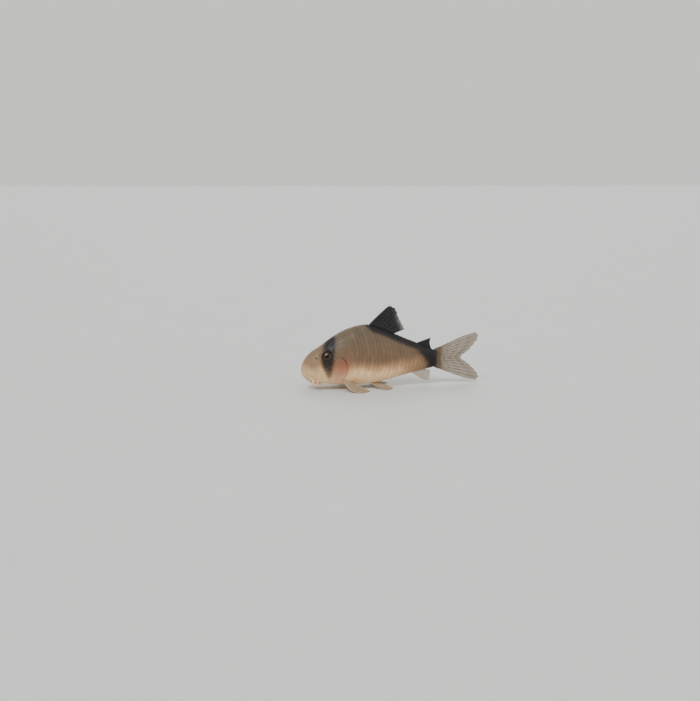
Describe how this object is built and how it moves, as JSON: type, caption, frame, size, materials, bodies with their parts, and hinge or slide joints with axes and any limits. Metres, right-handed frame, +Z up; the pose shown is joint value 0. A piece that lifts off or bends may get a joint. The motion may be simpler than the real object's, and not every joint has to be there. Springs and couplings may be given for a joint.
{
  "type": "corydoras catfish",
  "caption": "Life-size masked corydoras catfish, dark along the back and over the eyes, resting level on its paired fins.",
  "frame": {"origin": "on the floor, under the middle of the fish's whole length, tail fin included", "axes": "+X towards the tail (the head faces -X), +Y to the fish's right side, +Z up"},
  "size_m": [0.0556, 0.0202, 0.0254],
  "materials": {
    "skin": "smooth wet skin over bony plates, tan with black markings",
    "lip_skin": "soft pale pink skin",
    "eye": "clear and glossy over a dark iris",
    "spine": "satin bony spine",
    "fin_web": "thin clear web between tan rays",
    "dark_fin": "black fin with a thin web"
  },
  "bodies": {
    "root": {"head": "skin", "shoulder": "skin", "trunk": "skin", "tail_stalk": "skin", "gill_cover_left": "skin", "gill_cover_right": "skin", "eye_left": "eye", "eye_right": "eye", "lower_lip": "lip_skin", "barbel_upper_left": "lip_skin", "barbel_upper_right": "lip_skin", "barbel_lower_left": "lip_skin", "barbel_lower_right": "lip_skin", "barbel_chin_left": "lip_skin", "barbel_chin_right": "lip_skin", "dorsal_spine": "dark_fin", "dorsal_fin": "dark_fin", "adipose_fin": "dark_fin", "anal_fin": "fin_web", "caudal_fin": "fin_web", "pectoral_spine_left": "spine", "pectoral_spine_right": "spine", "pectoral_fin_left": "fin_web", "pectoral_fin_right": "fin_web", "pelvic_fin_left": "fin_web", "pelvic_fin_right": "fin_web"}
  },
  "joints": []
}
